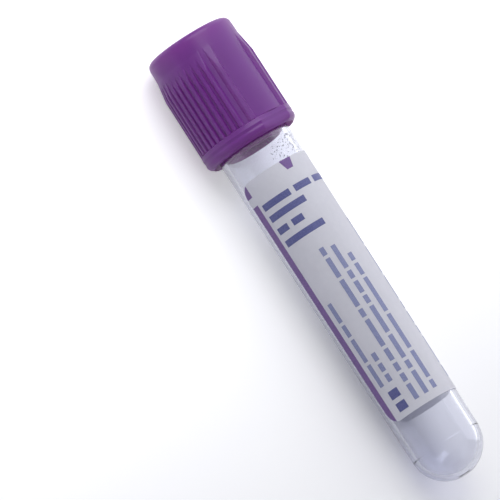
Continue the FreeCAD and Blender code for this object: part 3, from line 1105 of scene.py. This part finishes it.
@dataclass
class Closure:
    """The ribbed shield, and the stopper that it holds. Sizes in millimetres."""

    tube: SampleTube
    rise: float = 9.2                # tube's rim to the shield's top
    height: float = 20.3
    hole_radius: float = 3.8
    hole_rounding: float = 0.3
    top_radius: float = 7.72
    top_rounding: float = 1.1
    top_wall: float = 1.3
    cavity_radius: float = 6.55
    ledge_radius: float = 4.95
    ledge_height: float = 1.2
    flange_height: float = 2.2
    skirt_root: float = 6.95
    skirt_mouth: float = 7.45
    flare_height: float = 2.2
    skin_top: float = 7.79
    skin_foot: float = 7.95
    crest_top: float = 8.32
    crest_foot: float = 8.35
    slope_drop: float = 3.4
    slope_length: float = 3.4
    ring_radius: float = 8.4
    ring_height: float = 2.7
    ring_rounding: float = 1.05
    ring_edge: float = 0.2
    parting_drop: float = 0.8        # ring's upper edge to the mould's parting line
    parting_height: float = 0.04
    parting_half: float = 0.03       # half the line's width at its top
    parting_foot: float = 0.1        # and at its foot
    hollow: float = 0.06             # depth of the ring's shallow hollow
    lip: float = 0.12                # radius of the bead round the skirt's mouth
    lift: float = 0.02               # keeps two neighbouring edges apart
    flat_distance: float = 7.8
    panel_half: float = 23.2         # degrees, to the foot of the wide rib's flank
    panel_flank_rise: float = 0.21   # mm of height for each degree
    groove_middle: float = 36.6      # degrees from the panel's middle
    groove_half: float = 2.9         # degrees, to the feet of its flanks
    notch_pitch: float = 8.36
    notch_half: float = 1.05
    flank_rise: float = 0.30
    wide_flank_rise: float = 0.15
    edge_softness: float = 0.06

    @property
    def top(self) -> float:
        """The shield's top."""
        return self.tube.length + self.rise

    @property
    def foot(self) -> float:
        """The shield's open end."""
        return self.top - self.height

    def columns(self) -> list[float]:
        """Give the skin's columns, close together on every flank and wider apart between.

        Returns:
            Their angles in degrees, all the way round.
        """
        plain_pitch, closest, crease = 1.5, 0.12, 0.15    # degrees
        depth = self.crest_foot - self.skin_foot
        flank, wide = depth / self.flank_rise, depth / self.wide_flank_rise
        corner = math.degrees(math.acos(self.flat_distance / self.ring_radius))
        bands = [(self.panel_half, self.panel_half + depth / self.panel_flank_rise),
                 (self.groove_middle - self.groove_half - wide,
                  self.groove_middle - self.groove_half),
                 (self.groove_middle + self.groove_half,
                  self.groove_middle + self.groove_half + wide),
                 (corner - crease, corner + crease)]
        for i in range(LAST_NOTCH + 1):
            middle = 90 - i * self.notch_pitch
            bands += [(middle - self.notch_half - flank, middle - self.notch_half),
                      (middle + self.notch_half, middle + self.notch_half + flank)]
        quarter = [plain_pitch * i for i in range(61)]
        # Five columns on each flank, and one just beyond each of its ends
        quarter += [low + (high - low) * (i - 1) / 4 for low, high in bands for i in range(7)]
        quarter = sorted(angle for angle in quarter if 0 <= angle <= 90)
        kept = [0.0]
        kept += [angle for before, angle in zip(quarter, quarter[1:])
                 if angle - before > closest]
        around = {round(side + sign * angle, 4) % 360 for angle in kept
                  for side in (0, 180) for sign in (1, -1)}
        return sorted(around)

    def outline(self) -> tuple[Profile, list[float], list[float]]:
        """Give the shield's closed outline.

        Returns:
            Its points, and for each point whether the ribs and whether the ring's flats shape it.
        """
        top, ring_top = self.top, self.foot + self.ring_height
        rib_start = top - self.slope_drop
        rib_full = rib_start - self.slope_length
        rim = self.tube.length
        edge = self.hole_rounding
        plain: Profile = arc((self.hole_radius + edge, top - edge), edge, 180, 90, 5)
        plain += run((self.hole_radius + edge, top), (self.top_radius - self.top_rounding, top),
                     4)[1:]
        plain += arc((self.top_radius - self.top_rounding, top - self.top_rounding),
                     self.top_rounding, 90, 0, 10)
        plain += run((self.top_radius, top - self.top_rounding), (self.skin_top, rib_start), 4)[1:]
        ribbed: Profile = run((self.skin_top, rib_start), (self.crest_top, rib_full), 26)
        ribbed += run((self.crest_top, rib_full), (self.crest_foot, ring_top + self.lift), 8)
        ribbed += [(self.crest_foot, ring_top + self.lift)]
        ring: Profile = arc((self.ring_radius - self.ring_edge, ring_top - self.ring_edge),
                            self.ring_edge, 90, 0, 5)
        parting = ring_top - self.parting_drop
        raised = self.ring_radius + self.parting_height
        ring += [(self.ring_radius, parting + self.parting_foot),
                 (raised, parting + self.parting_half), (raised, parting - self.parting_half),
                 (self.ring_radius, parting - self.parting_foot)]
        # A shallow hollow runs round the ring between the parting line and its rounding
        start, end = parting - self.parting_foot, self.foot + self.ring_rounding
        ring += [(self.ring_radius - self.hollow * math.sin(math.pi * share) ** 2,
                  start + (end - start) * share) for share in (0.15, 0.3, 0.45, 0.6, 0.75, 0.9)]
        bead = self.skirt_mouth + self.lip
        inset = bead + self.lip + self.lift - self.ring_radius + self.ring_rounding
        mouth_turn = math.degrees(math.acos(inset / self.ring_rounding))
        ring += arc((self.ring_radius - self.ring_rounding, self.foot + self.ring_rounding),
                    self.ring_rounding, 0, -mouth_turn, 12)
        ring += arc((bead, self.foot + self.lift), self.lip, 0, -180, 8)
        mouth = ring[-1]
        ledge_foot = rim + self.flange_height
        ledge_head = ledge_foot + self.ledge_height
        ceiling = top - self.top_wall
        flare = self.skirt_mouth - self.skirt_root
        inside: Profile = [(self.skirt_root + flare * (1 - share) ** 2,
                            mouth[1] + self.flare_height * share)
                           for share in (0.12, 0.25, 0.4, 0.6, 0.8, 1.0)]
        inside += [(self.skirt_root, ledge_foot), (self.ledge_radius, ledge_foot),
                   (self.ledge_radius, ledge_head), (self.cavity_radius, ledge_head),
                   (self.cavity_radius, ceiling), (self.hole_radius, ceiling)]
        points = plain + ribbed + ring + inside
        by_ribs = [0.0] * len(plain) + [1.0] * len(ribbed) + [0.0] * (len(ring) + len(inside))
        by_flats = [0.0] * (len(plain) + len(ribbed)) + [1.0] * len(ring) + [0.0] * len(inside)
        return points, by_ribs, by_flats

    def sizes(self) -> dict[str, float]:
        """Give the sizes that the ribbing tree takes.

        Returns:
            Each input's name and its value.
        """
        named = ("panel_half", "panel_flank_rise", "groove_middle", "groove_half", "notch_pitch",
                 "notch_half", "flank_rise", "wide_flank_rise", "edge_softness", "skin_foot",
                 "skin_top", "flat_distance", "ring_radius")
        sizes = {name.replace("_", " ").capitalize(): getattr(self, name) for name in named}
        return {**sizes, "Rib foot": self.foot + self.ring_height,
                "Rib head": self.top - self.slope_drop, "Mouth radius": self.skirt_mouth}

    def ribbing(self, material: Material) -> NodeTree:
        """Make the tree that cuts panels, grooves, notches and ring flats into the plain shell.

        Args:
            material: The material that it ends with.

        Returns:
            The tree.
        """
        tree, given = new_tree("ribbed_skin", list(self.sizes()))
        size = given.outputs
        calc = partial(maths, tree)
        spot = add_node(tree, "ShaderNodeSeparateXYZ",
                        Vector=add_node(tree, "GeometryNodeInputPosition").outputs[0])
        x, y, z = spot.outputs
        radius = calc("SQRT", calc("MULTIPLY_ADD", x, x, calc("MULTIPLY", y, y)))
        turn = calc("DEGREES", calc("ARCTAN2", y, x))
        # Angle from the nearer panel's middle: both panels and both sides fold into 0 to 90
        folded = calc("ABSOLUTE", calc("SUBTRACT", calc("ABSOLUTE", turn), 90.0))
        angle = calc("SUBTRACT", 90.0, folded)
        skin = add_node(tree, "ShaderNodeMapRange", Value=z, From_Min=size["Rib foot"],
                        From_Max=size["Rib head"], To_Min=size["Skin foot"],
                        To_Max=size["Skin top"]).outputs[0]
        off_panel = calc("SUBTRACT", angle, size["Panel half"])
        panel = calc("MULTIPLY_ADD", calc("MAXIMUM", off_panel, 0.0), size["Panel flank rise"],
                     skin)
        off_groove = calc("SUBTRACT", calc("ABSOLUTE", calc("SUBTRACT", angle,
                                                            size["Groove middle"])),
                          size["Groove half"])
        groove = calc("MULTIPLY_ADD", calc("MAXIMUM", off_groove, 0.0), size["Wide flank rise"],
                      skin)
        # Notches stand a pitch apart, one of them a quarter turn from the panels' middles
        steps = calc("DIVIDE", folded, size["Notch pitch"])
        nearest = calc("MINIMUM", calc("ROUND", steps), LAST_NOTCH)
        middle = calc("MULTIPLY", nearest, size["Notch pitch"])
        off_notch = calc("SUBTRACT", calc("ABSOLUTE", calc("SUBTRACT", folded, middle)),
                         size["Notch half"])
        notch = calc("MULTIPLY_ADD", calc("MAXIMUM", off_notch, 0.0), size["Flank rise"],
                     size["Skin foot"])
        cut = calc("MINIMUM", calc("MINIMUM", panel, groove), notch)
        soft = calc("SMOOTH_MIN", radius, cut, size["Edge softness"])
        # The flat presses the ring's whole section in towards the skirt's mouth
        mouth = size["Mouth radius"]
        lean = calc("COSINE", calc("RADIANS", angle))
        # No flat lies past 60 degrees, where the cosine is a half
        flat = calc("DIVIDE", size["Flat distance"], calc("MAXIMUM", lean, 0.5))
        reach = calc("SUBTRACT", calc("MINIMUM", size["Ring radius"], flat), mouth)
        share = calc("DIVIDE", reach, calc("SUBTRACT", size["Ring radius"], mouth))
        flattened = calc("MULTIPLY_ADD", calc("SUBTRACT", radius, mouth), share, mouth)
        shaped = radius
        for name, other in (("by_ribs", soft), ("by_flats", flattened)):
            carried = add_node(tree, "GeometryNodeInputNamedAttribute", {"data_type": "FLOAT"},
                               Name=name).outputs[0]
            shaped = add_node(tree, "ShaderNodeMix", {"data_type": "FLOAT"}, i0=carried, i2=shaped,
                              i3=other).outputs[0]
        scale = calc("DIVIDE", shaped, radius)
        moved = add_node(tree, "ShaderNodeCombineXYZ", X=calc("MULTIPLY", x, scale),
                         Y=calc("MULTIPLY", y, scale), Z=z)
        placed = add_node(tree, "GeometryNodeSetPosition", Geometry=given.outputs["Geometry"],
                          Position=moved.outputs[0])
        finish_tree(tree, placed.outputs[0], material)
        return tree

    def shield(self, material: Material) -> Mesh:
        """Make the ribbed shield.

        Args:
            material: Its material.

        Returns:
            The finished mesh.
        """
        points, by_ribs, by_flats = self.outline()
        columns = self.columns()
        mesh = revolve("closure_skin", points, columns, closed=True)
        for name, shares in (("by_ribs", by_ribs), ("by_flats", by_flats)):
            values = [share for share in shares for _ in columns]
            mesh.attributes.new(name, "FLOAT", "POINT").data.foreach_set("value", values)
        shaped = apply_tree(mesh, self.ribbing(material), self.sizes())
        sharpen(shaped, angle=35)
        return shaped

    def build(self, where: TubeFrame) -> None:
        """Make the shield and the stopper.

        Args:
            where: The tube's own coordinates.
        """
        place(self.shield(MouldedPolyethylene().build()), where, None, Body.CLOSURE,
              Slot.POLYETHYLENE, "closure_shield")
        ledge_foot = self.tube.length + self.flange_height
        Stopper(self.tube.length, ledge_foot, ledge_foot + self.ledge_height).build(where)


# ---------------------------------------------------------------- the studio

@dataclass(frozen=True)
class SoftLight:
    """A square soft light: where it hangs from the tube, and how large and strong it is."""

    name: str
    beside: float                # parts of its direction: to the viewed side's right,
    near: float                  # to the viewed side
    along: float                 # and to the closure
    distance: float              # mm
    size: float                  # mm along a side
    power: float                 # watts
    colour: str


LIGHTS = (SoftLight("key", 0.966, -0.259, 0.30, 800.0, 1400.0, 5.7, "#fafbff"),
          SoftLight("fill", 0.45, 0.62, 0.60, 450.0, 385.0, 1.32, "#fbfcff"),
          SoftLight("end", 0.45, 0.45, -0.77, 900.0, 900.0, 0.1, "#fbfcff"))


@dataclass
class Studio:
    """The floor, the soft lights and the camera. Sizes in millimetres."""

    where: TubeFrame
    lean: float = 6.3                # degrees that the camera leans towards the round bottom
    roll: float = 32.70              # degrees between the tube's axis and the image's upright
    distance: float = 2000.0
    lens: float = 888.0
    aim_height: float = 40.0
    aim_right: float = 13.44         # the aim point's place right of and below the image's centre
    aim_below: float = 3.00
    floor_colour: str = "#f1f1f3"
    painted_light_near: float = 0.48          # painted light: what the floor's glow adds by the closure
    painted_light_far: float = 0.02           # and by the round bottom, much less, so the floor greys there as painted shade
    painted_light_reach: float = 55.0         # from the middle to where either is full
    far_start: float = 85.0          # from where the far floor is lifted, for the camera alone
    far_end: float = 230.0           # and where it is lifted in full
    far_glow: float = 0.85
    floor_reach: float = 1500.0      # from the middle to the floor's edge
    room_light: float = 0.40         # what the white room gives to matt things
    room_colour: str = "#f6f6f9"

    def directions(self) -> tuple[Vector, Vector, Vector]:
        """Give the studio's three directions.

        Returns:
            The viewed side, the side to its right and the axis, as unit directions.
        """
        turn = math.radians(VIEWED_TURN)
        near = self.where.direction(math.cos(turn), math.sin(turn), 0)
        beside = self.where.direction(-math.sin(turn), math.cos(turn), 0)
        return near, beside, self.where.direction(0, 0, 1)

    def camera(self) -> None:
        """Make the camera."""
        near, beside, along = self.directions()
        lean, roll = math.radians(self.lean), math.radians(self.roll)
        back = math.cos(lean) * near - math.sin(lean) * along
        upright = math.cos(lean) * along + math.sin(lean) * near
        right = -math.sin(roll) * upright + math.cos(roll) * beside
        up = math.cos(roll) * upright + math.sin(roll) * beside
        aim = self.where.point(0, 0, self.aim_height)
        spot = aim + MM * (self.distance * back - self.aim_right * right + self.aim_below * up)
        data = bpy.data.cameras.new("camera")
        data.lens = self.lens
        data.sensor_width = 36.0
        data.clip_start, data.clip_end = 0.1, 20.0
        camera = new_object("camera", data)
        camera.matrix_world = Matrix.Translation(spot) @ Matrix(
            (right, up, back)).transposed().to_4x4()
        bpy.context.scene.camera = camera

    def looked_at(self, tree: NodeTree) -> NodeSocket:
        """Add nodes that tell the rays that look at the room from those that only light it.

        Args:
            tree: The tree that gets the nodes.

        Returns:
            A socket with 1 for rays from the camera, from gloss and through clear things.
        """
        path = add_node(tree, "ShaderNodeLightPath")
        return maths(tree, "MAXIMUM", path.outputs["Is Camera Ray"],
                     maths(tree, "MAXIMUM", path.outputs["Is Glossy Ray"],
                           path.outputs["Is Transmission Ray"]))

    def floor(self) -> None:
        """Make the pale floor, which keeps the shadow, looks white to camera and glass, and carries
        painted light graded along the tube.
        """
        mesh = bpy.data.meshes.new("floor")
        reach = self.floor_reach * MM
        mesh.from_pydata([(-reach, -reach, 0), (reach, -reach, 0), (reach, reach, 0),
                          (-reach, reach, 0)], [], [(0, 1, 2, 3)])
        floor = new_object("floor", mesh)
        material = bpy.data.materials.new("pale_studio_floor")
        material.use_nodes = True
        tree = material.node_tree
        tree.nodes.clear()
        plain = add_node(tree, "ShaderNodeBsdfDiffuse", Color=linear(self.floor_colour))
        # Painted light and shade: the floor's glow is palest by the closure and greys softly
        # towards the round bottom
        spot = add_node(tree, "ShaderNodeTexCoord").outputs["Object"]
        along = add_node(tree, "ShaderNodeSeparateXYZ", Vector=spot).outputs[0]
        pale = add_node(tree, "ShaderNodeMapRange", {"interpolation_type": "SMOOTHSTEP"},
                        Value=along, From_Min=-self.painted_light_reach * MM, From_Max=self.painted_light_reach * MM,
                        To_Min=self.painted_light_near, To_Max=self.painted_light_far).outputs[0]
        # Far from the tube, where no lamp reaches, the camera alone sees it stay as pale
        away = add_node(tree, "ShaderNodeVectorMath", {"operation": "LENGTH"},
                        i0=spot).outputs["Value"]
        far = add_node(tree, "ShaderNodeMapRange", {"interpolation_type": "SMOOTHSTEP"},
                       Value=away, From_Min=self.far_start * MM, From_Max=self.far_end * MM,
                       To_Min=0.0, To_Max=self.far_glow).outputs[0]
        seen = add_node(tree, "ShaderNodeLightPath").outputs["Is Camera Ray"]
        strength = maths(tree, "MULTIPLY_ADD", seen, far,
                         maths(tree, "MULTIPLY", self.looked_at(tree), pale))
        glow = add_node(tree, "ShaderNodeEmission", Color=(1.0, 1.0, 1.0, 1.0),
                        Strength=strength)
        both = add_node(tree, "ShaderNodeAddShader", i0=plain.outputs[0], i1=glow.outputs[0])
        add_node(tree, "ShaderNodeOutputMaterial", Surface=both.outputs[0])
        mesh.materials.append(material)

    def hang(self, lamp: SoftLight) -> None:
        """Hang one soft light, facing the tube.

        Args:
            lamp: The light.
        """
        near, beside, along = self.directions()
        towards = (lamp.beside * beside + lamp.near * near + lamp.along * along).normalized()
        data = bpy.data.lights.new(lamp.name, "AREA")
        data.size = lamp.size * MM
        data.energy = lamp.power
        data.color = linear(lamp.colour)[:3]
        light = new_object(lamp.name, data)
        light.location = self.where.point(0, 0, self.aim_height) + towards * lamp.distance * MM
        light.rotation_mode = "QUATERNION"
        light.rotation_quaternion = towards.to_track_quat("Z", "Y")

    def build(self) -> None:
        """Make the floor, the lights, the world and the camera."""
        self.floor()
        for lamp in LIGHTS:
            self.hang(lamp)
        world = bpy.data.worlds.new("studio")
        bpy.context.scene.world = world
        world.use_nodes = True
        tree = world.node_tree
        background = tree.nodes["Background"]
        background.inputs["Color"].default_value = linear(self.room_colour)
        strength = add_node(tree, "ShaderNodeMix", {"data_type": "FLOAT"},
                            i0=self.looked_at(tree), i2=self.room_light, i3=1.0).outputs[0]
        tree.links.new(strength, background.inputs["Strength"])
        bpy.context.scene.view_settings.view_transform = "Standard"
        self.camera()


def main() -> None:
    """Build the pieces in order, then the studio."""
    logging.basicConfig(level=logging.INFO, format="%(message)s")
    tube = SampleTube()
    where = TubeFrame.read(tube.base_radius)
    for part in (tube, Label(tube), Closure(tube)):
        part.build(where)
    Studio(where).build()
    bpy.context.view_layer.update()


if __name__ == "__main__":
    main()
